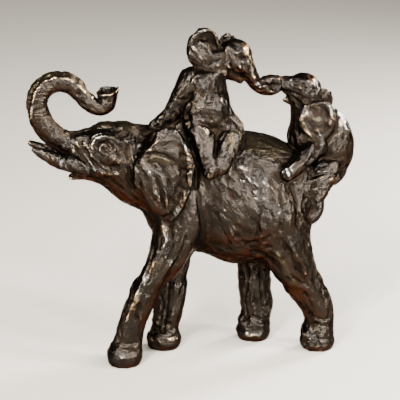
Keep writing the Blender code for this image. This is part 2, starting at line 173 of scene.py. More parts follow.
# Feet: across, down and depth of the middle of the ball that ends each leg
FEET = {
    "near front foot": (124.5, 355, -14),
    "far front foot": (163.8, 338, 21.5),
    "far hind foot": (253, 329, 23),
    "near hind foot": (317, 339, -21),
}

# Ears: rim knots across and down, depth of the front and rear edge, dish, then folds and
# hollows of the leaf: across, down, half length, half width, turn in degrees, rise
EARS = {
    "mother near ear": (
        [(146, 137), (158, 129.5), (170, 128.5), (180, 137), (188, 149), (193, 162),
         (192.5, 178), (192, 190), (187, 201), (180, 213), (171, 221), (160, 214),
         (150, 203), (141, 190), (138, 172), (140, 152)], -33, -51, 4,
        [(160, 143, 20, 8, -12, 6), (164, 166, 18, 12, 20, -6), (146, 178, 6, 24, 6, 4)]),
    "mother far ear": (
        [(150, 131), (156, 121), (164, 115), (174, 117), (183, 128), (189, 141),
         (192, 156), (190, 172), (184, 186), (174, 194), (160, 188), (150, 176),
         (144, 160), (143, 145)], 31, 47, -4,
        [(164, 130, 20, 8, -12, -6), (168, 150, 18, 12, 20, 6)]),
    "sitting right ear": (
        [(219, 44), (215, 33), (208, 28.5), (199, 29.5), (191, 36), (188, 46), (188, 56),
         (191, 63), (200, 68), (211, 68), (219, 64), (223, 54)], -13, -10, 3,
        [(210, 45, 8, 10, 0, -4)]),
    "sitting left ear": (
        [(219, 44), (222, 37), (227, 33.5), (233, 35.5), (238, 42), (238, 54),
         (228, 54)], 0, 8, -1, []),
    "climbing near ear": (
        [(301, 107), (310, 104), (320, 101.5), (329, 103), (334, 111), (335.5, 120),
         (333, 129), (326, 137), (317, 140), (308, 139), (302, 133), (298.5, 124)],
        -16, -24, 3, [(315, 112, 8, 9, 0, -5)]),
    "climbing far ear": (
        [(314, 92), (322, 88.5), (329, 91), (332, 97), (331, 106), (324, 116),
         (316, 112)], 17, 23, -1, []),
}

# The trunk widens to its mouth, which lies in the plane through three places
TRUNK_BELL = [(107.3, 104, -5.4, 7.6), (107.3, 97, -5.4, 8.8), (107.3, 88.8, -5.4, 11)]
TRUNK_MOUTH = [(104, 86.5, 4), (102.5, 96.5, -15), (117, 87.2, -6)]
MOUTH_CUT = 30 * SQUARE
MOUTH_FLARE = 1.1
MOUTH_TAPER = 0.4
MOUTH_SINK = 0.4

# Forms that the part's solid leaves out or has plainer: knots and balls as above
SMALL_LIMBS = {
    "trunk finger": [(111, 100, -5.4, 5), (115, 92.5, -5.4, 2.8), (118, 87.8, -5.4, 1.3)],
    "near brow": [(94, 150, -18, 2.2), (95.5, 142, -19, 2.8), (102, 137.5, -20.5, 3),
                  (110, 137, -21, 2.6), (117, 141, -21, 2)],
    "upper lid": [(100, 148.5, -22.5, 1.2), (103, 145, -24.5, 1.5), (107.5, 144.5, -25, 1.5),
                  (113, 148, -23, 1.2)],
    "lower lid": [(101, 150.5, -22.5, 1.2), (106, 153, -24, 1.4), (112, 151, -23, 1.2)],
    "sitting lid": [(239.5, 57.8, -21.5, 1), (242, 55.9, -23, 1), (245.6, 57, -22, 1)],
    "climbing lid": [(297, 87.5, -14.5, 1), (300, 85.2, -15.6, 1), (304, 86.8, -15, 1)],
    "near lip": [(76, 171.5, -7, 4), (84, 171, -7, 6.5), (94, 171, -7, 9.5), (106, 172, -5, 12)],
    "muzzle": [(74, 152.5, -9, 4.5), (84, 156, -12, 7), (95, 160, -14, 9)],
    "sitting right shin": [(199, 136, -28, 12.4), (203, 147, -35, 10.2), (206, 159, -41, 8.6),
                           (211, 169, -45, 7.8)],
    "sitting lap": [(216, 130, -22, 9), (216.5, 142, -26, 8), (218, 156, -31, 8)],
    "sitting left shin": [(228, 140, -31, 11.6), (226.5, 150, -36, 11), (223.5, 159, -41, 9.4),
                          (219, 167, -44, 8)],
}
SMALL_BALLS = {
    "near eye": (106.8, 148.6, -22.6, 3.2, 2.2, 2.9, 0),
    "sitting eye": (242.8, 58.6, -22, 2.1, 1.6, 1.8, 0),
    "climbing eye": (300.6, 87.9, -15, 2.1, 1.6, 1.8, 0),
    "sitting temple": (226, 55, -12, 9, 8, 8, 0),
    "near cheekbone": (115, 159, -22, 9, 5.5, 6.5, 20),
    "near knee": (141, 296, -31, 7, 5, 9, 0),
    "sitting ear lobe": (201, 54, -12.5, 12, 4, 14, 0),
    "sitting cheek": (217, 58, -12, 10, 5, 8, 0),
    "sitting chest": (203, 87, -17, 16, 11, 17, 0),
    "sitting flank": (193, 103, -13, 8, 9, 14, 12),
    "climbing ear lobe": (316.5, 122, -19, 17, 4, 17, 0),
    "ear leaf": (165, 172, -43, 24, 8.5, 44, 6),
    "ear front": (148, 168, -35, 15, 10, 30, 10),
}


def sheet_axes():
    """The way back to the eye, and right and up on the sheet."""
    turn = math.radians(SHEET_TURN)
    rise = math.radians(SHEET_RISE)
    back = Vector((-math.sin(turn) * math.cos(rise), -math.cos(turn) * math.cos(rise),
                   math.sin(rise)))
    right = Vector((math.cos(turn), -math.sin(turn), 0))
    return back, right, back.cross(right)


def sheet_point(across, down, depth):
    """The point that shows at one place on the sheet and lies at a depth of its own."""
    back, right, up = sheet_axes()
    eye = LOOK_AT + back * SHEET_DISTANCE
    ray = (-back * SHEET_DISTANCE + right * (across - SHEET_CENTRE) * SQUARE
           + up * (SHEET_CENTRE - down) * SQUARE)
    return eye + ray * ((depth * SQUARE - eye.y) / ray.y)


def on_sheet(points):
    """Across and down of many points at once, the other way round."""
    back, right, up = (np.array(axis) for axis in sheet_axes())
    offset = points - np.array(LOOK_AT) - back * SHEET_DISTANCE
    away = -(offset @ back)
    across = SHEET_CENTRE + SHEET_DISTANCE / SQUARE * (offset @ right) / away
    down = SHEET_CENTRE - SHEET_DISTANCE / SQUARE * (offset @ up) / away
    return np.stack((across, down), axis=1)


def deselect():
    bpy.ops.object.select_all(action="DESELECT")


def choose(*objects):
    deselect()
    for one in objects:
        one.select_set(True)
    bpy.context.view_layer.objects.active = objects[0]


def add_object(name, data):
    made = bpy.data.objects.new(name, data)
    bpy.context.scene.collection.objects.link(made)
    return made


def apply_modifier(one, kind, **settings):
    choose(one)
    bpy.ops.object.modifier_add(type=kind)
    modifier = one.modifiers[-1]
    for name, value in settings.items():
        setattr(modifier, name, value)
    bpy.ops.object.modifier_apply(modifier=modifier.name)


def ball(across, down, depth, long, wide, high, pitch):
    """An egg at one place on the sheet, tipped up at its front by the pitch."""
    deselect()
    bpy.ops.mesh.primitive_uv_sphere_add(
        segments=BALL_SEGMENTS, ring_count=BALL_RINGS, radius=SQUARE,
        scale=(long, wide, high), location=sheet_point(across, down, depth),
        rotation=(0, math.radians(pitch), 0))
    return bpy.context.object


def limb(knots, flat_end=False, flatness=1.0):
    """A round limb through its knots, with a ball at each end unless the last is flat."""
    curve = bpy.data.curves.new("limb", "CURVE")
    curve.dimensions = "3D"
    curve.bevel_depth = SQUARE
    curve.bevel_resolution = TUBE_RESOLUTION
    curve.use_fill_caps = True
    spline = curve.splines.new("BEZIER")
    spline.resolution_u = TUBE_STEPS
    spline.radius_interpolation = "CARDINAL"
    spline.bezier_points.add(len(knots) - 1)
    for knot, (across, down, depth, radius) in zip(spline.bezier_points, knots):
        knot.co = sheet_point(across, down, depth)
        knot.radius = radius
        knot.handle_left_type = "AUTO"
        knot.handle_right_type = "AUTO"
    choose(add_object("limb", curve))
    bpy.ops.object.convert(target="MESH")
    made = [bpy.context.object]
    ends = knots[:1] if flat_end else (knots[0], knots[-1])
    for across, down, depth, radius in ends:
        made.append(ball(across, down, depth, radius, radius, radius, 0))
    for part in made:
        choose(part)
        bpy.ops.object.transform_apply()
        part.data.transform(Matrix.Diagonal((1, flatness, 1, 1)))
    return made


def rounded_loop(knots, steps):
    """Points along a closed curve through the knots."""
    points = []
    count = len(knots)
    for index in range(count):
        a, b, c, d = (np.array(knots[(index + shift) % count], float)
                      for shift in (-1, 0, 1, 2))
        for step in range(steps):
            t = step / steps
            points.append(0.5 * (2 * b + (c - a) * t + (2 * a - 5 * b + 4 * c - d) * t ** 2
                                 + (3 * b - a - 3 * c + d) * t ** 3))
    return points


def ear(rim, front, rear, dish, folds, thickness):
    """A leaf lofted from its middle to its rim, dished and folded, then thickened."""
    first = rim[0][0]
    far = max((knot[0] for knot in rim), key=lambda across: abs(across - first))

    def leaf_point(across, down, share):
        depth = front + (rear - front) * abs(across - first) / abs(far - first)
        depth += dish * (1 - share ** 2.5)
        for x, y, half_length, half_width, turn, rise in folds:
            angle = math.radians(turn)
            along = (across - x) * math.cos(angle) + (down - y) * math.sin(angle)
            aside = (down - y) * math.cos(angle) - (across - x) * math.sin(angle)
            near = (along / half_length) ** 2 + (aside / half_width) ** 2
            depth -= rise * math.exp(-1.5 * near) * (1 - share ** 6)
        return sheet_point(across, down, depth)

    middle = np.mean(np.array(rim, float), axis=0)
    loop = rounded_loop(rim, EAR_STEPS)
    shell = bmesh.new()
    centre = shell.verts.new(leaf_point(middle[0], middle[1], 0))
    rings = []
    for ring in range(1, EAR_RINGS + 1):
        share = ring / EAR_RINGS
        places = [middle * (1 - share) + point * share for point in loop]
        rings.append([shell.verts.new(leaf_point(x, y, share)) for x, y in places])
    for index in range(len(loop)):
        after = (index + 1) % len(loop)
        shell.faces.new((centre, rings[0][index], rings[0][after]))
        for inner, outer in zip(rings, rings[1:]):
            shell.faces.new((inner[index], outer[index], outer[after], inner[after]))
    bmesh.ops.recalc_face_normals(shell, faces=shell.faces)
    mesh = bpy.data.meshes.new("ear")
    shell.to_mesh(mesh)
    shell.free()
    made = add_object("ear", mesh)
    apply_modifier(made, "SOLIDIFY", thickness=thickness, offset=0)
    return made


def blended(name, parts, cell, passes):
    """Run many overlapping parts into one closed skin and smooth the joins."""
    choose(*parts)
    bpy.ops.object.join()
    made = bpy.context.object
    made.name = name
    bpy.ops.object.transform_apply()
    apply_modifier(made, "REMESH", mode="VOXEL", voxel_size=cell)
    apply_modifier(made, "SMOOTH", factor=0.5, iterations=passes)
    return made


def model_casting():
    """All three elephants, first as loose limbs and balls, then as one skin."""
    soft = []
    for name, knots in MASS_LIMBS.items():
        soft += limb(knots, flatness=MASS_FLATNESS.get(name, 1.0))
    for sizes in MASS_BALLS.values():
        soft.append(ball(*sizes))
    pieces = [blended("mass", soft, BLEND_CELL, MASS_PASSES)]
    for knots in LIMBS.values():
        pieces += limb(knots)
    for sizes in BALLS.values():
        pieces.append(ball(*sizes))
    foot = FOOT_RADIUS / SQUARE
    for across, down, depth in FEET.values():
        pieces.append(ball(across, down, depth, foot, foot, FOOT_HEIGHT / SQUARE, 0))
    for name, sizes in EARS.items():
        thick = MOTHER_EAR_THICKNESS if name.startswith("mother") else CALF_EAR_THICKNESS
        pieces.append(ear(*sizes, thick))
    pieces += limb(TRUNK_BELL, flat_end=True)
    for knots in SMALL_LIMBS.values():
        pieces += limb(knots)
    for sizes in SMALL_BALLS.values():
        pieces.append(ball(*sizes))
    return blended("casting", pieces, SKIN_CELL, SKIN_PASSES)


def vectors(items, key):
    flat = np.empty(len(items) * 3)
    items.foreach_get(key, flat)
    return flat.reshape(-1, 3)


def edge_ends(mesh):
    ends = np.empty(len(mesh.edges) * 2, dtype=np.int64)
    mesh.edges.foreach_get("vertices", ends)
    return ends.reshape(-1, 2)


class Sculpt:
    """The skin's points, with the tools that press marks into them."""

    def __init__(self, one):
        self.mesh = one.data
        self.points = vectors(self.mesh.vertices, "co")
        self.edges = edge_ends(self.mesh)
        self.refresh()

    def refresh(self):
        self.mesh.vertices.foreach_set("co", self.points.ravel())
        self.mesh.update()
        self.normals = vectors(self.mesh.vertex_normals, "vector")

    def sides(self, both):
        """The near side, then on both the far side as it would lie if it were the near one."""
        for side in (1, -1) if both else (1,):
            turned = self.points * np.array((1, side, 1))
            yield on_sheet(turned), turned[:, 1] / SQUARE, -self.normals[:, 1] * side

    def raise_by(self, amount):
        self.points = self.points + self.normals * (amount * SQUARE)[:, None]


def distance_to(path, places):
    nearest = np.full(len(places), 1e9)
    for start, end in zip(path, path[1:]):
        a = np.array(start, float)
        edge = np.array(end, float) - a
        share = np.clip((places - a) @ edge / (edge @ edge), 0, 1)
        gap = np.linalg.norm(places - a - share[:, None] * edge, axis=1)
        nearest = np.minimum(nearest, gap)
    return nearest


def soft_step(value):
    value = np.clip(value, 0, 1)
    return value * value * (3 - 2 * value)


# Strokes on the sheet: path, width, rise, nearest and farthest depth. The mother's are
# pressed into her far side too.
MOTHER_STROKES = [
    # ridge along the trunk, the flat strip outside it and the folds at its tip
    ([(31, 118), (32, 104), (36, 90), (45, 81), (55, 77.8), (68, 78.5), (76, 83),
      (84, 91), (92, 98.5)], 1.7, 1, -30, -2),
    ([(28.5, 112), (31, 94), (40, 80), (54, 73.5), (68, 74), (80, 82), (90, 92)],
     2.2, -0.7, -30, -1),
    ([(97, 97), (101, 100), (106, 99)], 2, -1.2, -30, 4),
    ([(99, 104), (106, 106), (112, 103)], 1.8, 0.7, -30, 4),
    # crown of the head and the groove below it
    ([(79, 132.5), (88, 130), (98, 128.5), (110, 129.5), (117, 131)], 3.4, -1.5, -60, 6),
    ([(80, 128), (95, 124.5), (110, 124.5), (121, 126)], 3.2, 0.8, -60, 6),
    ([(128, 131), (134, 134), (139, 138)], 2.4, -1, -60, 4),
    ([(101, 134), (94, 138), (90.5, 146), (92, 154)], 4, 1.8, -60, 0),
    # hollow of the temple
    ([(120.5, 135), (125.5, 134)], 3.2, -4.5, -60, 0),
    ([(116, 141), (124, 142), (132, 140)], 3, 0.9, -60, 0),
    # muzzle folds that run down from the trunk's root
    ([(79, 144), (86, 153), (93, 161), (101, 169)], 2.2, -1.4, -60, 0),
    ([(84, 143), (91, 151), (97, 158)], 2, 0.9, -60, 0),
    ([(74, 145), (80, 152), (87, 161)], 1.8, -0.9, -60, 0),
    ([(62, 149.5), (70, 152.5), (78, 156), (86, 161)], 1.8, -1, -60, 0),
    ([(71.5, 176), (73.5, 175.5)], 1.6, -1.6, -60, 6),
    ([(83, 164), (88, 173)], 1.3, 0.7, -60, 0),
    ([(86, 162), (92, 172)], 1.3, -0.7, -60, 0),
    ([(89, 161), (95, 171)], 1.3, 0.7, -60, 0),
    ([(92, 159), (98, 170)], 1.3, -0.7, -60, 0),
    ([(100, 172), (110, 174), (122, 173)], 2.6, 1.2, -60, 0),
    ([(101, 163.5), (108, 167), (116, 167.5)], 3, -2, -60, 0),
    # wrinkles of the cheek and throat
    ([(126, 150), (127, 164), (131, 180)], 2, -1, -60, 0),
    ([(131, 146), (133, 160), (137, 176)], 2, 0.8, -60, 0),
    ([(122, 168), (128, 180), (136, 192)], 2.4, -1.2, -60, 0),
    ([(112, 182), (124, 190), (136, 200)], 2.4, -0.9, -60, 0),
    ([(137, 138), (137, 148), (135, 158)], 1.8, -1, -60, -8),
    ([(141, 136), (141.5, 146), (139, 152)], 1.8, 0.8, -60, -8),
    # folds of the ear's leaf: the lit fold at its top, the hollow below it and the rear rim
    ([(147, 155), (155, 154), (164, 155), (172, 160)], 3, -2.4, -66, -26),
    ([(150, 149), (157, 142), (166, 139)], 6, 1.6, -66, -26),
    ([(150, 163), (158, 166), (168, 168), (176, 166)], 8, -1.8, -66, -26),
    ([(150, 159), (155, 164), (160, 171)], 2, 1.1, -66, -26),
    ([(180, 146), (182, 160), (181, 174), (178, 188), (172, 204)], 3.4, -0.9, -70, -26),
    ([(186, 148), (188.5, 162), (188, 180), (184, 198), (176, 212)], 4.6, 1.1, -70, -26),
    ([(181, 170), (186, 171), (193, 169)], 2.2, -2.4, -70, -26),
    ([(179, 187), (186, 190), (193, 188)], 2.2, -1.6, -70, -26),
    ([(182, 155), (191, 158)], 2, -2, -70, -26),
    ([(172, 214), (178, 206), (184, 199)], 3, 0.5, -70, -26),
    ([(143, 172), (147, 186), (154, 200)], 2.4, -1.2, -66, -22),
    ([(149, 172), (154, 188), (160, 204)], 2, 1, -66, -26),
    ([(156, 178), (161, 194), (165, 210)], 2.2, -1.2, -66, -26),
    ([(162, 180), (166, 196), (168, 212)], 2, 1, -66, -26),
    ([(169, 180), (170, 194), (169, 208)], 2, -1, -66, -26),
    # shoulder, foreleg and its long tendons
    ([(189, 138), (191.5, 150), (196, 163), (197.5, 174), (197, 186)], 4.6, -4.2, -70, -5),
    ([(197, 190), (200, 206), (203, 222), (204, 238)], 3.4, -1.4, -70, -5),
    ([(163, 226), (166, 240), (160, 252)], 3, 1.2, -70, -5),
    ([(170, 228), (173, 244), (168, 258)], 3, -1.6, -70, -5),
    ([(158, 252), (150, 270), (141, 290), (133, 308)], 3, 1.4, -70, -5),
    ([(164, 260), (156, 276), (147, 294)], 2.4, -1.6, -70, -5),
    ([(170, 262), (161, 278), (152, 292)], 2.2, 1.1, -70, -5),
    ([(184, 246), (176, 262), (164, 280)], 2.6, -1.4, -70, -5),
    ([(190, 244), (184, 262), (172, 280)], 2.4, 1, -70, -5),
    ([(176, 232), (170, 250), (160, 268), (150, 288), (142, 308)], 1.8, 1.5, -70, -5),
    ([(186, 236), (182, 252), (172, 272), (160, 290)], 2.2, -1.6, -70, -5),
    ([(150, 262), (143, 280), (134, 300), (126, 322)], 1.8, 1.4, -70, -5),
    ([(152, 290), (145, 304), (140, 320), (137, 334)], 1.6, 1.2, -70, -5),
    ([(136, 316), (140, 324), (138, 336)], 3, -1.3, -70, -5),
    # far legs: ropey folds and toes
    ([(161, 284), (160, 300), (158, 318), (157, 334)], 1.8, 1.3, -2, 40),
    ([(169, 282), (168, 300), (166, 318), (164, 332)], 2, -1.8, -2, 40),
    ([(175, 284), (174, 302), (171, 320)], 1.8, 1.2, -2, 40),
    ([(152, 335), (160, 332), (170, 333), (176, 337)], 1.8, -1.4, -2, 40),
    ([(245, 264), (248, 280), (244, 300), (247, 316)], 2.2, -2, -2, 40),
    ([(251, 264), (255, 282), (251, 300), (255, 314)], 1.8, 1.5, -2, 40),
    ([(260, 268), (261, 288), (263, 306)], 2, -1.8, -2, 40),
    ([(266, 276), (268, 294), (268, 310)], 1.8, 1.2, -2, 40),
    ([(241, 320), (252, 316), (264, 320)], 2.2, -1.6, -2, 40),
    ([(118, 340), (126, 345), (137, 343)], 2.4, -1, -70, -3),
    ([(114, 352), (124, 358), (138, 356)], 2, 0.8, -70, -3),
    # barrel: folds between the ribs and the V of the belly
    ([(222, 176), (226, 192), (224, 210)], 3.4, 1, -75, -8),
    ([(216, 214), (222, 228), (230, 244)], 2.6, -1.4, -75, -8),
    ([(222, 214), (228, 226), (236, 240)], 2.2, 0.9, -75, -8),
    ([(259, 216), (258, 230), (254, 242)], 2.4, -1.4, -75, -8),
    ([(264, 214), (264, 228), (260, 242)], 2.2, 1, -75, -8),
    ([(236, 236), (246, 244), (258, 242), (270, 236)], 2.6, -1.3, -75, -8),
    ([(240, 241), (250, 249), (262, 247)], 2, 0.8, -75, -8),
    ([(252, 252), (262, 254), (272, 262)], 3, -2, -75, -4),
    ([(262, 252), (272, 250), (280, 256)], 2.4, 1.2, -75, -8),
    ([(232, 160), (236, 172), (246, 182)], 2.6, -1, -75, -8),
    # haunch and hind leg
    ([(280, 196), (283, 212), (280, 230)], 3, -1.5, -75, -8),
    ([(292, 186), (298, 204), (298, 224)], 3.6, -2.4, -75, -8),
    ([(288, 200), (290, 216), (288, 232)], 2.8, 1.2, -75, -8),
    ([(283, 240), (291, 256), (298, 272)], 3.4, -2, -75, -8),
    ([(276, 250), (284, 266), (294, 280)], 2.6, 1.2, -75, -8),
    ([(292, 244), (302, 262), (308, 282)], 3, 1.4, -75, -8),
    ([(290, 274), (296, 280), (304, 284)], 2, -1.4, -75, -8),
    ([(309, 280), (317, 292), (322, 304)], 2.6, 1.2, -75, -5),
    ([(306, 294), (312, 306), (312, 318)], 2.4, -1.4, -75, -5),
    ([(312, 316), (322, 320), (330, 318)], 2, -1.2, -75, -5),
    ([(314, 323), (324, 326), (331, 324)], 2, -1, -75, -5),
    ([(304, 332), (312, 340), (326, 342)], 2.2, 0.9, -75, -3),
]
# Paths along which the skin is smoothed: path, width, passes, nearest and farthest depth
SOFT_PATCHES = [
    ([(147, 140), (141, 152), (139, 172), (145, 192), (156, 209)], 10, 60, -70, -20),
    ([(136, 143), (133, 153), (133, 168), (137, 184)], 8, 50, -70, -14),
    ([(198, 102), (212, 104), (214, 114), (200, 116)], 11, 30, -60, -10),
    ([(196, 64), (206, 68), (217, 66)], 7, 20, -40, 0),
    ([(194, 34), (203, 29), (214, 31)], 5, 8, -40, 0),
    ([(302, 108), (299, 120), (303, 133)], 5, 20, -40, -8),
]

# Places smoothed again once the tool marks are in, in the same form
SMOOTH_EDGES = [
    ([(299, 110), (297.5, 120), (301, 132), (310, 139.5), (322, 139), (331, 130), (334, 118),
      (329, 107)], 3.6, 8, -60, -8),
    ([(190, 44), (194, 33), (204, 28), (215, 31)], 3.2, 6, -60, 4),
    ([(31, 118), (32, 104), (36, 90), (45, 81), (55, 77.8), (68, 78.5), (76, 83), (84, 91)],
     2.4, 4, -30, 0),
    ([(198, 134), (204, 148), (208, 162)], 9, 5, -70, -20),
    ([(231, 137), (228, 148), (223, 160)], 9, 5, -70, -20),
]

CALF_STROKES = [
    # sitting calf: ear, eye, mouth, chest, belly and legs
    ([(211, 35), (215, 47)], 7, -3, -60, 0),
    ([(194, 52), (200, 60), (208, 64)], 2, -0.9, -60, 0),
    ([(192, 46), (197, 55), (204, 61)], 1.8, 0.8, -60, 0),
    ([(190, 44), (194, 34), (204, 30)], 2.6, 0.8, -60, 0),
    ([(239.5, 58.5), (245, 58.5)], 3.4, -2.4, -60, -8),
    ([(203, 68.5), (212, 69.5), (222, 68.5), (231, 72)], 3, -1.6, -60, -4),
    ([(237, 61), (243, 65), (249, 68)], 2, -1, -60, -8),
    ([(238, 66), (244, 70), (250, 74)], 1.8, 0.9, -60, -8),
    ([(236, 53), (241, 51), (246, 54)], 2, 1, -60, -10),
    ([(226, 52), (230, 62), (232, 70)], 2, -1.2, -60, -10),
    ([(221, 46), (224, 56), (222, 66)], 2.6, -1.8, -60, -8),
    ([(233, 72), (240, 75), (248, 79)], 1.8, -1.6, -60, -8),
    ([(228, 66), (236, 71), (243, 77)], 1.8, 0.9, -60, -8),
    ([(224, 40), (229, 37), (234, 40)], 1.8, -1, -60, 0),
    ([(196, 72), (206, 71), (216, 72), (222, 70)], 2.8, -0.8, -60, -8),
    ([(196, 78), (193, 90), (187, 102)], 2.4, -1.5, -60, -6),
    ([(201, 80), (200, 92), (196, 100)], 2.2, 0.5, -60, -6),
    ([(210, 80), (212, 92), (210, 102)], 2.4, -1, -60, -6),
    ([(190, 104), (186, 114), (190, 124)], 2.6, -2.2, -60, -6),
    ([(214, 104), (222, 104), (226, 112), (222, 120)], 2, -0.6, -60, -10),
    ([(188, 128), (198, 123.5), (209, 126), (214, 136)], 2.2, -1.2, -60, -14),
    ([(221, 128), (216.5, 137), (215.5, 148), (215, 156)], 2, -1.6, -60, -14),
    ([(204, 160), (212, 160)], 1.8, -1.1, -70, -20),
    ([(222, 156), (230, 156)], 1.8, -1.1, -70, -20),
    ([(174, 96), (180, 100), (186, 100)], 2, -1, -60, 0),
    ([(163, 116), (160, 122), (158, 128)], 2.2, -1.2, -60, 4),
    ([(156, 118), (153, 124)], 1.6, -1.2, -60, 4),
    ([(232, 116), (238, 121)], 1.8, -1, -60, 4),
    # the trunk ends that hold on to each other
    ([(258, 81), (265, 83), (270, 87)], 1.8, -1.6, -60, 4),
    ([(259, 87.5), (265, 85.5), (269, 88)], 1.6, 1.1, -60, 4),
    ([(274, 80), (272, 86), (275, 92)], 1.8, -1.5, -60, 4),
    ([(281, 78), (283, 84), (282, 90)], 1.6, -1.1, -60, 4),
    # climbing calf: head, ear, arm, back and leg
    ([(291, 80), (299, 78), (308, 82)], 2.4, 0.9, -60, 0),
    ([(296, 87), (301, 85), (306, 88)], 3, -1.6, -60, -4),
    ([(290, 92), (297, 94), (305, 98)], 2, -1.1, -60, 0),
    ([(293, 97), (299, 103), (301, 108)], 2.4, -1.8, -60, 0),
    ([(314, 110), (316, 115)], 4.4, -1.6, -60, -6),
    ([(300, 116), (303, 128), (311, 137), (322, 136)], 2, 0.9, -60, -8),
    ([(327, 106), (331, 114), (331, 124)], 2.4, 1, -60, -8),
    ([(304, 120), (308, 130), (316, 134)], 1.8, -0.9, -60, -8),
    ([(334, 108), (338, 118), (336, 132), (328, 141)], 2.4, -2, -60, 0),
    ([(306, 142), (300, 150), (292, 160)], 2.4, -1.3, -66, -8),
    ([(318, 144), (316, 154), (308, 164)], 3, -2.4, -66, -8),
    ([(297, 158), (292, 166), (286, 170)], 2, 1, -66, -20),
    ([(288, 168), (292, 176)], 1.6, -1.2, -66, -20),
    ([(284, 171), (287, 178)], 1.4, -1.2, -66, -20),
    ([(320, 158), (332, 160), (344, 156)], 2.6, -1, -66, -4),
    ([(312, 176), (322, 173), (334, 175), (342, 172)], 2.2, -1.6, -66, -4),
    ([(312, 181), (322, 178), (334, 180), (340, 178)], 1.8, 1.1, -66, -4),
    ([(313, 186), (322, 183), (333, 185)], 1.8, -1.2, -66, -4),
    ([(314, 190), (323, 188), (331, 190)], 1.6, 0.9, -66, -4),
    ([(312, 200), (318, 204), (324, 200)], 2, -1.2, -66, -4),
    ([(300, 214), (303, 221)], 1.6, -1.2, -66, -10),
    ([(306, 216), (309, 223)], 1.6, -1.2, -66, -10),
]


def press_strokes(sculpt, strokes, both_sides):
    """Raise or sink the skin along paths, where it faces the sheet and lies deep enough."""
    for places, depth, facing in sculpt.sides(both_sides):
        seen = soft_step(facing * 1.8 + 0.15)
        total = np.zeros(len(places))
        for path, width, rise, nearest, farthest in strokes:
            inside = np.flatnonzero((depth > nearest) & (depth < farthest) & (seen > 0))
            if len(inside) == 0:
                continue
            fade = soft_step(1 - distance_to(path, places[inside]) / (width * 1.25))
            total[inside] += fade * rise * seen[inside]
        sculpt.raise_by(total)
        sculpt.refresh()


def soften(sculpt, patches, both_sides):
    """Smooth the skin round paths on the sheet, as a thumb does: path, width, passes."""
    for places, depth, facing in sculpt.sides(both_sides):
        for path, width, passes, nearest, farthest in patches:
            share = soft_step((1 - distance_to(path, places) / width) * 1.6)
            share = share * (depth > nearest) * (depth < farthest) * (facing > -0.2)
            smooth = neighbour_mean(sculpt.edges, sculpt.points, passes)
            sculpt.points = sculpt.points + (smooth - sculpt.points) * share[:, None]
        sculpt.refresh()


def press_eye(sculpt, centre, reach, rise, turn, both_sides):
    """Rings of wrinkles that wind round an eye, fading outward."""
    for places, depth, facing in sculpt.sides(both_sides):
        offset = places - np.array(centre)
        gap = np.linalg.norm(offset * np.array((0.92, 1.12)), axis=1)
        angle = np.arctan2(offset[:, 1], offset[:, 0])
        wave = np.cos(2 * math.pi * (gap / (reach / 3)) + turn * angle)
        fade = soft_step((reach - gap) / (reach * 0.5)) * soft_step(facing * 2)
        fade = fade * (depth < -6) * (gap > reach * 0.18)
        socket = -1.6 * soft_step(1 - gap / (reach * 0.9))
        sculpt.raise_by(wave * fade * rise + socket * fade * rise)
        sculpt.refresh()


def press_rings(sculpt, path, length, rise, girth):
    """Wrinkles that run round a limb, a little uneven, along a path through its middle."""
    knots = np.array([sheet_point(x, y, depth) for x, y, depth, radius in path])
    edges = np.diff(knots, axis=0)
    lengths = np.linalg.norm(edges, axis=1)
    best = np.full(len(sculpt.points), 1e9)
    along = np.zeros(len(sculpt.points))
    walked = 0
    for start, edge, size in zip(knots, edges, lengths):
        share = np.clip((sculpt.points - start) @ edge / size ** 2, 0, 1)
        gap = np.linalg.norm(sculpt.points - start - share[:, None] * edge, axis=1)
        closer = gap < best
        best[closer] = gap[closer]
        along[closer] = walked + share[closer] * size
        walked += size
    on_limb = soft_step((girth * SQUARE - best) / (2 * SQUARE))
    ends = soft_step(along / (8 * SQUARE)) * soft_step((walked - along) / (5 * SQUARE))
    turns = along / SQUARE / length
    sway = 0.35 * np.sin(along / SQUARE * 0.9) + 0.3 * np.sin(sculpt.points[:, 1] / SQUARE * 0.8)
    wave = np.cos(2 * math.pi * (turns + sway))
    sculpt.raise_by(np.where(wave > 0, wave, wave * 0.6) * rise * on_limb * ends)
    sculpt.refresh()


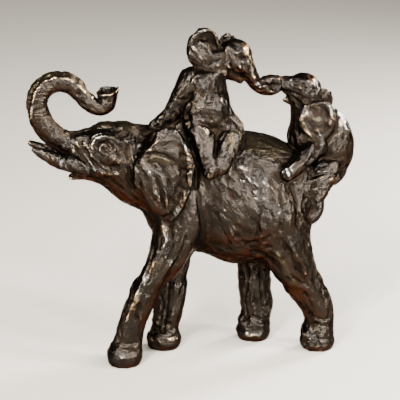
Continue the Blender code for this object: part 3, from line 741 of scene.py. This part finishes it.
# Way the tool runs: across, down, angle on the sheet, turning from right to down, and the
# length and width of its marks
TOOLING = [
    (60, 150, 75, 9, 3), (90, 160, 52, 10, 2.6), (100, 128, -4, 14, 5), (120, 165, 80, 7, 4),
    (132, 190, 60, 14, 4), (106, 140, 10, 7, 2.6), (160, 142, -18, 14, 6),
    (160, 162, 25, 14, 7), (150, 185, 78, 12, 3), (165, 200, 68, 13, 3),
    (187, 175, 88, 8, 4.5), (176, 160, 60, 10, 5), (165, 240, 100, 16, 5),
    (150, 280, 118, 20, 4), (132, 320, 108, 17, 4), (125, 355, 20, 7, 4),
    (200, 190, 85, 18, 6), (206, 230, 80, 20, 6), (240, 185, 48, 12, 5),
    (262, 185, 46, 13, 3), (228, 170, 100, 12, 4), (240, 220, 60, 14, 6),
    (226, 240, 45, 14, 6), (252, 244, -30, 10, 5), (265, 145, 15, 24, 9),
    (282, 215, 80, 10, 5), (292, 250, 58, 14, 6), (305, 285, 60, 13, 5),
    (318, 318, 95, 9, 4), (316, 345, 10, 7, 4), (172, 300, 96, 18, 4),
    (164, 338, 20, 8, 4), (255, 300, 98, 14, 5), (253, 330, 15, 8, 4),
    (205, 85, 100, 9, 4), (206, 112, 20, 7, 4), (178, 100, 118, 9, 4),
    (160, 120, 150, 8, 4), (206, 150, 88, 7, 3.6), (230, 150, 100, 7, 4),
    (236, 60, 62, 7, 2.8), (200, 50, 62, 9, 2.6), (230, 110, 70, 9, 4),
    (255, 84, 45, 8, 3), (300, 90, 60, 6, 2.6), (315, 122, 80, 8, 4),
    (340, 125, 65, 12, 6), (332, 155, 100, 12, 5), (325, 180, -18, 9, 2.6),
    (316, 205, 100, 8, 4), (298, 164, 140, 6, 3.2), (306, 120, 85, 8, 4),
    (40, 100, 0, 6, 3), (70, 84, 80, 6, 3), (100, 106, 60, 6, 3),
]


# Squares squared that keep the nearest sample of the tooling from ruling alone
TOOL_BLEND = 20


def tool_at(place):
    """The tool's way and size at one place on the sheet, from the samples round it."""
    samples = np.array(TOOLING, float)
    weight = 1 / (((samples[:, :2] - place) ** 2).sum(axis=1) + TOOL_BLEND) ** 2
    double = np.radians(samples[:, 2]) * 2
    angle = 0.5 * math.atan2((weight * np.sin(double)).sum(), (weight * np.cos(double)).sum())
    length, width = (weight[:, None] * samples[:, 3:]).sum(axis=0) / weight.sum()
    return angle, length, width


def press_gouges(sculpt, count, size, depth, seed):
    """Overlapping hollows that a modelling tool leaves, with ridges where they meet.

    size is a share of the tool's own length and width at each place.
    """
    chance = np.random.default_rng(seed)
    back, right, up = (np.array(axis) for axis in sheet_axes())
    points = sculpt.points
    tree = kdtree.KDTree(len(points))
    for index, point in enumerate(points):
        tree.insert(point, index)
    tree.balance()
    lowest = np.zeros(len(points))
    for index in chance.choice(len(points), count, replace=False):
        point = points[index]
        normal = sculpt.normals[index]
        side = -1 if normal[1] > 0.1 else 1
        mirror = np.array((1, side, 1))
        angle, length, width = tool_at(on_sheet((point * mirror)[None])[0])
        angle += chance.normal(0, 0.25)
        way = (right * math.cos(angle) - up * math.sin(angle)) * mirror
        way = way - normal * (way @ normal)
        if np.linalg.norm(way) < 0.3:
            way = np.cross(normal, (0.3, 1, 0.2))
        way = way / np.linalg.norm(way)
        beside = np.cross(normal, way)
        half_length = length * size * SQUARE * chance.uniform(0.6, 1.5) / 2
        half_width = width * size * SQUARE * chance.uniform(0.7, 1.4) / 2
        sunk = depth * chance.uniform(0.25, 1)
        bend = chance.normal(0, 0.25) / half_length
        reach = math.hypot(half_length, half_width)
        near = [found[1] for found in tree.find_range(Vector(point), reach)]
        offset = points[near] - point
        run = offset @ way
        aside = (offset @ beside - bend * run * run) / half_width
        level = ((run / half_length) ** 2 + aside ** 2 - 1) * sunk
        level = level * soft_step(sculpt.normals[near] @ normal * 2 - 0.6)
        lowest[near] = np.minimum(lowest[near], level)
    sculpt.raise_by(lowest - lowest.mean())
    sculpt.refresh()


def neighbour_mean(edges, values, passes):
    """Values smoothed over the mesh, each point with its neighbours."""
    count = len(values)
    degree = np.bincount(edges.ravel(), minlength=count).astype(float)
    out = values.astype(float)
    flat = out.ndim == 1
    if flat:
        out = out[:, None]
    for step in range(passes):
        total = np.empty_like(out)
        for axis in range(out.shape[1]):
            total[:, axis] = (np.bincount(edges[:, 0], out[edges[:, 1], axis], count)
                              + np.bincount(edges[:, 1], out[edges[:, 0], axis], count))
        out = 0.5 * out + 0.5 * total / degree[:, None]
    return out[:, 0] if flat else out


# Directions of the scratches on the sheet, in degrees from right to down
SCRATCH_SPACING = 60
SCRATCH_WAYS = (0, SCRATCH_SPACING, 2 * SCRATCH_SPACING)


def scratch_shares(points, normals):
    """How much of each of the three scratch directions shows, point by point."""
    mirror = np.ones((len(points), 3))
    mirror[normals[:, 1] > 0.1, 1] = -1
    places = on_sheet(points * mirror)
    samples = np.array(TOOLING, float)
    across = np.zeros(len(points))
    along = np.zeros(len(points))
    for x, y, degrees, length, width in samples:
        weight = 1 / (((places - (x, y)) ** 2).sum(axis=1) + TOOL_BLEND) ** 2
        across += weight * math.sin(2 * math.radians(degrees))
        along += weight * math.cos(2 * math.radians(degrees))
    angle = np.degrees(np.arctan2(across, along)) / 2
    shares = np.ones((len(points), 4), dtype=np.float32)
    for channel, degrees in enumerate(SCRATCH_WAYS):
        gap = np.abs((angle - degrees + 90) % 180 - 90)
        shares[:, channel] = np.clip(1 - gap / SCRATCH_SPACING, 0, 1)
    return shares


# Patches that make the bronze brighter, above 0, or darker, below 0: path, width, share, nearest
# and farthest depth. Above 0 the bronze is worn bright by hands and cloth, and the patches also
# paint highlights on the ridges, brows, backs, barrel, forehead and legs. Below 0 is painted shade
# in the eyes, ear hollows and creases and under the ears, and a painted olive shade on the back,
# crown and trunk.
MOTHER_WEAR_AND_PAINTED_LIGHT = [
    ([(31, 118), (32, 104), (36, 90), (45, 81), (55, 77.8), (68, 78.5), (76, 83), (84, 91),
      (92, 98.5)], 2.4, 1, -30, 0),
    ([(25, 118), (27, 98), (36, 80), (52, 72.5), (68, 73), (80, 80)], 5, -1.5, -30, 20),
    ([(42, 120), (41, 104), (48, 90), (60, 88), (73, 94), (86, 105), (100, 110)], 9, -0.35, -30, 4),
    ([(68, 134), (80, 127), (100, 122), (122, 124), (140, 127)], 7, -1, -60, 20),
    ([(137, 143), (134, 154), (134, 168), (138, 184)], 6, 0.5, -60, -10),
    ([(119.5, 134.5), (126.5, 134)], 5, -3.5, -60, 0),
    ([(101, 135), (94, 138), (90.5, 146), (93, 154)], 4, 0.7, -60, 0),
    ([(62, 146), (72, 147), (85, 146)], 7, 0.7, -60, 0),
    ([(109, 155), (115, 158), (121, 162)], 5, 0.4, -60, 0),
    ([(102, 176), (113, 174), (124, 174)], 3, 0.6, -60, 0),
    ([(103, 151), (109, 153)], 3.5, -0.8, -60, 0),
    ([(107, 167), (118, 168)], 4, -0.8, -60, 0),
    ([(40, 152), (54, 160), (70, 168)], 3.5, 0.4, -60, 0),
    ([(147, 150), (152, 143), (161, 138)], 6, 0.5, -66, -20),
    ([(152, 158), (160, 160), (172, 163)], 6, -0.6, -66, -20),
    ([(145, 172), (150, 186), (156, 200)], 7, 0.3, -66, -20),
    ([(187, 148), (189, 158)], 4, 0.6, -70, -20),
    ([(188, 170), (187, 182), (185, 196)], 4, 0.5, -70, -20),
    ([(172, 216), (178, 209), (183, 201)], 3.5, 0.4, -70, -20),
    ([(189, 140), (191.5, 152), (196, 164), (196, 186)], 4.5, -0.8, -70, -5),
    ([(236, 140), (262, 144), (284, 154)], 15, -1, -60, 30),
    ([(240, 172), (255, 178), (266, 188), (258, 200)], 17, 0.55, -80, -8),
    ([(206, 190), (214, 206), (224, 214)], 9, 0.3, -80, -8),
    ([(258, 176), (270, 186), (276, 196)], 5, 0.15, -80, -8),
    ([(162, 226), (167, 238), (160, 254)], 4.5, 0.9, -70, -5),
    ([(157, 262), (147, 282), (137, 300), (129, 318)], 7.5, 0.9, -70, -5),
    ([(112, 350), (124, 353), (136, 351)], 7, 0.5, -70, -5),
    ([(152, 339), (159, 340)], 4, 0.7, -2, 40),
    ([(169, 339), (175, 339)], 4, 0.7, -2, 40),
    ([(246, 334), (258, 336)], 4, 0.5, -2, 40),
    ([(304, 338), (313, 345), (323, 348)], 7, 0.5, -75, -5),
    ([(324, 290), (329, 300)], 4, 0.4, -75, -5),
    ([(276, 254), (285, 268), (293, 282)], 6, -0.7, -75, -5),
]
# The calves' patches, read the same way: worn bright and painted highlights above 0, painted shade
# below 0
CALF_WEAR_AND_PAINTED_LIGHT = [
    ([(211, 34), (214, 46)], 7.5, -3.2, -60, 10),
    ([(194, 50), (199, 58), (206, 63)], 5, 0.6, -60, 10),
    ([(204, 69.5), (216, 70.5), (227, 71)], 3, -0.5, -60, 0),
    ([(246, 48), (250, 57), (252, 66), (254, 76)], 4.5, 1.3, -60, 10),
    ([(194, 100), (199, 112), (199, 120)], 7, 0.3, -60, 0),
    ([(200, 128), (209, 132)], 5, 0.5, -70, -10),
    ([(236, 135), (238, 145)], 4.5, 1, -70, -10),
    ([(240, 57.5), (245, 59)], 3, -3, -60, 0),
    ([(299, 87), (304, 88.5)], 2.5, -1.2, -60, 0),
    ([(284, 98), (291, 101)], 4, -0.8, -60, 10),
    ([(257, 85), (261, 82)], 3, 0.8, -60, 10),
    ([(314, 81), (319, 87), (324, 94)], 4.5, 1.1, -60, 10),
    ([(306, 112), (304, 124), (312, 134), (322, 132)], 8, 0.8, -60, -4),
    ([(327, 107), (331, 115), (330, 124)], 4, 0.8, -60, -4),
    ([(314, 108), (316, 117)], 6, -1.2, -60, -4),
    ([(337, 110), (344, 119), (348, 128)], 9, 1.5, -60, 30),
    ([(288, 172), (294, 165)], 6, 0.6, -66, -10),
    ([(316, 176), (334, 177)], 5, 0.4, -66, -4),
]


def sum_of_painted_light_and_wear(points, normals):
    """The sum of the worn-bright, painted-highlight and painted-shade patches at each point."""
    total = np.zeros(len(points))
    for side, patches in ((1, MOTHER_WEAR_AND_PAINTED_LIGHT + CALF_WEAR_AND_PAINTED_LIGHT), (-1, MOTHER_WEAR_AND_PAINTED_LIGHT)):
        turned = points * np.array((1, side, 1))
        places = on_sheet(turned)
        depth = turned[:, 1] / SQUARE
        seen = soft_step(-normals[:, 1] * side * 1.5 + 0.6)
        for path, width, share, nearest, farthest in patches:
            fade = soft_step(1.3 * (1 - distance_to(path, places) / width))
            total += fade * share * seen * (depth > nearest) * (depth < farthest)
    return total


# Passes that smooth the skin for its finer and its broader relief, and the shares of the
# skin's points, in percent, between which each mark goes from none to full
FINE_RELIEF = 4
BROAD_RELIEF = 40
MARK_RANGES = {"raised": (55, 98), "hollow": (48, 92), "below": (50, 95)}


def patina_and_painted_light_marks(one):
    """Where the bronze shows bright wear or painted highlights, dark patina or painted shade, and a
    painted reddish reflection, point by point.
    """
    mesh = one.data
    points = vectors(mesh.vertices, "co")
    normals = vectors(mesh.vertex_normals, "vector")
    edges = edge_ends(mesh)
    fine = ((points - neighbour_mean(edges, points, FINE_RELIEF)) * normals).sum(axis=1)
    broad = ((points - neighbour_mean(edges, points, BROAD_RELIEF)) * normals).sum(axis=1)
    fine = neighbour_mean(edges, fine, 1)
    broad = neighbour_mean(edges, broad, 2)
    # How far each point faces down, which places the painted reddish reflection
    below = neighbour_mean(edges, -normals[:, 2], 12)
    # Patches of wear, painted highlights and painted shade
    painted_light_and_wear = mesh.attributes.new("painted_light_and_wear", "FLOAT", "POINT")
    painted_light_and_wear.data.foreach_set("value", sum_of_painted_light_and_wear(points, normals).astype(np.float32))
    way = mesh.attributes.new("way", "FLOAT_COLOR", "POINT")
    way.data.foreach_set("color", scratch_shares(points, normals).ravel())
    for name, values in (("raised", fine), ("hollow", -broad), ("below", below)):
        start, end = np.percentile(values, MARK_RANGES[name])
        mark = mesh.attributes.new(name, "FLOAT", "POINT")
        share = np.clip((values - start) / (end - start), -1, 1.5)
        mark.data.foreach_set("value", share.astype(np.float32))


class Value:
    """A socket that takes part in ordinary sums, each of which adds its Math nodes."""

    def __init__(self, finish, socket):
        self.finish = finish
        self.socket = socket

    def math(self, operation, other):
        return self.finish.node("ShaderNodeMath", {"operation": operation}, {0: self, 1: other})

    def __add__(self, other):
        return self.math("ADD", other)

    def __sub__(self, other):
        return self.math("SUBTRACT", other)

    def __mul__(self, other):
        return self.math("MULTIPLY", other)

    def __rsub__(self, other):
        return (self * -1) + other

    __radd__ = __add__
    __rmul__ = __mul__

    def between(self, low, high):
        """0 below low and 1 above high, with a soft way between."""
        return self.finish.node(
            "ShaderNodeMapRange", {"interpolation_type": "SMOOTHSTEP"},
            {"Value": self, "From Min": low, "From Max": high}, "Result")


class Finish:
    """A material and the one way its nodes are made."""

    def __init__(self, name):
        self.material = bpy.data.materials.new(name)
        self.material.use_nodes = True
        self.tree = self.material.node_tree
        self.shader = self.tree.nodes["Principled BSDF"]

    def node(self, kind, settings=None, sockets=None, output=0):
        made = self.tree.nodes.new(kind)
        for name, value in (settings or {}).items():
            setattr(made, name, value)
        for name, value in (sockets or {}).items():
            self.feed(made.inputs[name], value)
        return Value(self, made.outputs[output])

    def feed(self, socket, value):
        if isinstance(value, Value):
            self.tree.links.new(value.socket, socket)
        else:
            socket.default_value = value

    def mix(self, share, first, second):
        return self.node("ShaderNodeMix", {"data_type": "RGBA"},
                         {0: share, 6: first, 7: second}, 2)

    def noise(self, place, scale, detail, rough=0.55, distortion=0.0):
        return self.node("ShaderNodeTexNoise", {}, {
            "Vector": place, "Scale": scale, "Detail": detail, "Roughness": rough,
            "Distortion": distortion}, "Fac")

    def attribute(self, name):
        return self.node("ShaderNodeAttribute", {"attribute_name": name}, {}, "Fac")


# Colours of the patina and the painted light: brown wax, a painted reddish reflection on
# undersides, smoky patches, a painted olive shade, the dark patina of the hollows that also
# serves as painted shade, and the bare metal in warm and in cool patches
BROWN_WAX = (0.018, 0.0145, 0.0115, 1)
# Painted reddish reflection, on the faces that look down
RED_PAINTED_REFLECTION = (0.028, 0.0095, 0.004, 1)
SMOKE = (0.012, 0.0105, 0.009, 1)
# Painted olive shade, on the tops and in the patches of painted shade
OLIVE_PAINTED_SHADE = (0.030, 0.023, 0.0135, 1)
# Dark patina of the hollows, which also paints shade in the patches of painted shade
HOLLOW_PATINA_AND_SHADE = (0.007, 0.0048, 0.0032, 1)
WARM_METAL = (0.25, 0.17, 0.098, 1)
COOL_METAL = (0.19, 0.182, 0.17, 1)
EDGE_TINT = (0.42, 0.38, 0.35, 1)
# Waves to a metre in the patina's clouds, crinkles, grit, streaks and folds
CLOUD_SCALE = 45
CRINKLE_SCALE = 260
GRIT_SCALE = 700
STREAK_SCALE = 420
FOLD_SCALE = 150
BUMP_HEIGHT = 0.0016


def bronze():
    """Bronze under wax: bright where raised or worn and in painted highlights, dark in hollows and
    painted shade.
    """
    finish = Finish("Patinated bronze")
    place = finish.node("ShaderNodeTexCoord", output="Object")
    raised = finish.attribute("raised")
    hollow = finish.attribute("hollow")
    below = finish.attribute("below")
    painted_light_and_wear = finish.attribute("painted_light_and_wear")
    cloud = finish.noise(place, CLOUD_SCALE, 4)
    crinkle = finish.noise(place, CRINKLE_SCALE, 4, 0.6, 1.2)
    grit = finish.noise(place, GRIT_SCALE, 4, 0.65)
    streaks = scratches(finish, place, STREAK_SCALE, 7)
    folds = scratches(finish, place, FOLD_SCALE, 3)

    # Bare metal where raised parts and scratches are worn bright, and painted highlights from the
    # patches above 0
    wear_and_highlight = raised + painted_light_and_wear * 1.1 + (cloud - 0.5) * 1.2 + (crinkle - 0.5) * 1.6
    wear_and_highlight = wear_and_highlight + (grit - 0.5) * 1.4 + (streaks - 0.5) * 2.6
    wear_and_highlight = wear_and_highlight.between(0.85, 2.0)
    # Dark patina in the hollows, and painted shade from the patches below 0
    sunk = hollow - painted_light_and_wear * 0.4 + (cloud - 0.5) * 0.6 - (crinkle - 0.5) * 0.6
    sunk = sunk.between(0.0, 0.9)
    # Painted olive shade on the tops and in the eyes, ear hollows and creases, from the patches
    # below 0
    painted_shade_share = (painted_light_and_wear * -1 + (crinkle - 0.5) * 0.4).between(0.1, 0.9)
    # Painted reddish reflection on the faces that look down
    painted_underside_reflection = (below + (cloud - 0.5) * 0.7).between(0.0, 0.75)

    ground = finish.mix(painted_underside_reflection, BROWN_WAX, RED_PAINTED_REFLECTION)
    ground = finish.mix(cloud.between(0.35, 0.7), ground, SMOKE)
    ground = finish.mix(painted_shade_share, ground, OLIVE_PAINTED_SHADE)
    dark = finish.mix(sunk, ground, HOLLOW_PATINA_AND_SHADE)
    bright = finish.mix(cloud.between(0.42, 0.62), WARM_METAL, COOL_METAL)
    colour = finish.mix(wear_and_highlight, dark, bright)
    finish.feed(finish.shader.inputs["Base Color"], colour)
    metal_share = (wear_and_highlight * 0.1 - painted_shade_share * 0.12 + 0.9).between(0.0, 1.0)
    finish.feed(finish.shader.inputs["Metallic"], metal_share)
    finish.shader.inputs["Specular Tint"].default_value = EDGE_TINT
    roughness = 0.13 + sunk * 0.3 + (grit - 0.5) * 0.14
    finish.feed(finish.shader.inputs["Roughness"], roughness)
    height = folds * 0.7 + crinkle * 0.42 + grit * 0.06 + streaks * 0.6
    bump = finish.node("ShaderNodeBump", {}, {
        "Strength": 1.0, "Distance": BUMP_HEIGHT, "Height": height})
    finish.feed(finish.shader.inputs["Normal"], bump)
    return finish.material


def scratches(finish, place, scale, stretch):
    """Streaks that run the tool's way: noise drawn out in three directions."""
    way = finish.node("ShaderNodeAttribute", {"attribute_name": "way"}, {}, "Color")
    share = finish.node("ShaderNodeSeparateColor", {}, {"Color": way}, "Red")
    node = share.socket.node
    total = 0.0
    for channel, degrees in zip(("Red", "Green", "Blue"), SCRATCH_WAYS):
        drawn_out = finish.node("ShaderNodeMapping", {"vector_type": "TEXTURE"}, {
            "Vector": place, "Rotation": (0, math.radians(degrees), 0),
            "Scale": (stretch, 1.5, 1)})
        streak = finish.noise(drawn_out, scale, 3, 0.55)
        total = streak * Value(finish, node.outputs[channel]) + total
    return total


def plain_paper(name, colour, roughness):
    finish = Finish(name)
    finish.shader.inputs["Base Color"].default_value = colour
    finish.shader.inputs["Roughness"].default_value = roughness
    return finish.material


def cut_away(casting, tool):
    apply_modifier(casting, "BOOLEAN", operation="DIFFERENCE", solver="EXACT", object=tool)
    bpy.data.objects.remove(tool)


def open_mouth(casting):
    """Cut the trunk's end off aslant and hollow it."""
    far, near, right = (sheet_point(*place) for place in TRUNK_MOUTH)
    outward = (near - far).cross(right - far).normalized()
    outward *= math.copysign(1, outward.z)
    turn = outward.to_track_quat("Z", "Y").to_euler()
    middle = sheet_point(*TRUNK_BELL[-1][:3])
    middle -= outward * ((middle - far) @ outward)
    bpy.ops.mesh.primitive_cube_add(size=MOUTH_CUT, rotation=turn,
                                    location=middle + outward * MOUTH_CUT / 2)
    cut_away(casting, bpy.context.object)
    bpy.ops.mesh.primitive_cone_add(
        vertices=BALL_SEGMENTS, radius1=NOSTRIL_RADIUS * MOUTH_TAPER,
        radius2=NOSTRIL_RADIUS * MOUTH_FLARE, depth=NOSTRIL_DEPTH, rotation=turn,
        location=middle - outward * NOSTRIL_DEPTH * MOUTH_SINK)
    cut_away(casting, bpy.context.object)


# Rings round the mother's trunk: the knots that they run past, their spacing and rise, and
# how far from the trunk's middle they reach
RINGED_KNOTS = slice(2, 16)
RING_SPACING = 4.6
RING_RISE = 0.4
RING_REACH = 13
# Wrinkled eyes: centre, reach of the wrinkles, rise, turns that they wind, on both sides or not
EYES = [
    ((106.5, 148.5), 12, 1.1, 1, True),
    ((242.5, 59), 4.5, 0.4, 0, False),
    ((302.5, 88.5), 4.5, 0.4, 0, False),
]
# Tool marks: how many, their size as a share of the tool's, depth, seed. The broad ones come
# before the strokes, the others after them.
BROAD_MARKS = (1100, 2.2, 1.5, 7)
FINE_MARKS = [(7000, 1, 1.1, 11), (9000, 0.6, 0.4, 5)]


def carve(casting):
    """The sculptor's marks, from the broad ones to the fine ones."""
    sculpt = Sculpt(casting)
    soften(sculpt, SOFT_PATCHES, True)
    press_rings(sculpt, LIMBS["trunk"][RINGED_KNOTS], RING_SPACING, RING_RISE, RING_REACH)
    press_gouges(sculpt, *BROAD_MARKS)
    press_strokes(sculpt, MOTHER_STROKES, True)
    press_strokes(sculpt, CALF_STROKES, False)
    for eye in EYES:
        press_eye(sculpt, *eye)
    for marks in FINE_MARKS:
        press_gouges(sculpt, *marks)
    soften(sculpt, SMOOTH_EDGES, False)
    apply_modifier(casting, "SMOOTH", factor=0.2, iterations=1)


def limit_triangles(casting):
    triangles = sum(len(face.vertices) - 2 for face in casting.data.polygons)
    if triangles > TRIANGLES:
        apply_modifier(casting, "DECIMATE", ratio=TRIANGLES / triangles)
    apply_modifier(casting, "TRIANGULATE")


def make_casting():
    """The finished casting in the place of its CAD node, and how far it was shifted there."""
    casting = model_casting()
    carve(casting)
    open_mouth(casting)
    bpy.ops.mesh.primitive_cube_add(size=2 * HEIGHT, location=(0, 0, -HEIGHT))
    cut_away(casting, bpy.context.object)
    limit_triangles(casting)
    patina_and_painted_light_marks(casting)
    low = np.min([v.co for v in casting.data.vertices], axis=0)
    high = np.max([v.co for v in casting.data.vertices], axis=0)
    cad_middle = (CAD_LOW + CAD_HIGH) / 2
    shift = Vector((cad_middle.x - (low[0] + high[0]) / 2,
                    cad_middle.y - (low[1] + high[1]) / 2, 0))
    casting.data.transform(Matrix.Translation(shift))
    choose(casting)
    bpy.ops.object.shade_smooth()
    casting.name = "bronze_casting"
    casting.data.materials.clear()
    casting.data.materials.append(bronze())
    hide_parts(NODE)
    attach(casting, "root")
    return shift


# Studio: floor, the room's even light and soft lights. Each panel has its place, width, height,
# power, colour.
FLOOR_SIZE = 14
FLOOR_COLOUR = (0.38, 0.35, 0.305, 1)
ROOM_COLOUR = (0.86, 0.79, 0.70, 1)
ROOM_STRENGTH = 0.27
AIM = (0, 0, 0.16)
PANELS = {
    "key": ((-0.75, -1.1, 1.15), 0.3, 0.3, 108, (1, 0.97, 0.92)),
    "side": ((1.15, -0.7, 0.95), 0.25, 0.6, 78, (1, 0.98, 0.95)),
    "rear": ((1.25, 0.55, 0.9), 0.4, 0.5, 98, (1, 0.99, 0.97)),
    "front": ((0.35, -1.7, 0.75), 0.7, 0.35, 48, (0.95, 0.97, 1)),
    "left strip": ((-1.35, -0.8, 0.45), 0.15, 0.9, 50, (1, 0.92, 0.82)),
    "right strip": ((0.85, -1.35, 0.4), 0.12, 0.8, 62, (1, 0.95, 0.88)),
}
SUN_FROM = (-0.35, -0.55, 1)
SUN_STRENGTH = 2.2
SUN_ANGLE = 25
FILM_WIDTH = 36


def light_panel(name, place, width, height, power, colour):
    data = bpy.data.lights.new(name, "AREA")
    data.shape = "RECTANGLE"
    data.size = width
    data.size_y = height
    data.energy = power
    data.color = colour
    made = add_object(name, data)
    made.location = place
    made.rotation_euler = (Vector(AIM) - Vector(place)).to_track_quat("-Z", "Y").to_euler()


def light_sun():
    daylight = bpy.data.lights.new("daylight", "SUN")
    daylight.energy = SUN_STRENGTH
    daylight.angle = math.radians(SUN_ANGLE)
    sun = add_object("daylight", daylight)
    sun.rotation_euler = Vector(SUN_FROM).to_track_quat("Z", "Y").to_euler()


def set_camera(shift):
    """The camera stands where the sheet is seen from, and moves with the casting."""
    camera = bpy.data.cameras.new("camera")
    camera.sensor_width = FILM_WIDTH
    camera.lens = FILM_WIDTH * SHEET_DISTANCE / SQUARE / SHEET_WIDTH
    camera.clip_start = 0.05
    seen_from = add_object("camera", camera)
    back, right, up = sheet_axes()
    seen_from.location = LOOK_AT + shift + back * SHEET_DISTANCE
    seen_from.rotation_euler = back.to_track_quat("Z", "Y").to_euler()
    bpy.context.scene.camera = seen_from


def make_studio(shift):
    deselect()
    bpy.ops.mesh.primitive_plane_add(size=FLOOR_SIZE)
    floor = bpy.context.object
    floor.name = "floor"
    floor.data.materials.append(plain_paper("Studio paper", FLOOR_COLOUR, 0.7))
    world = bpy.data.worlds.new("Studio")
    bpy.context.scene.world = world
    world.use_nodes = True
    air = world.node_tree.nodes["Background"]
    air.inputs["Color"].default_value = ROOM_COLOUR
    air.inputs["Strength"].default_value = ROOM_STRENGTH
    for name, panel in PANELS.items():
        light_panel(name, *panel)
    light_sun()
    set_camera(shift)


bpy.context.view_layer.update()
make_studio(make_casting())
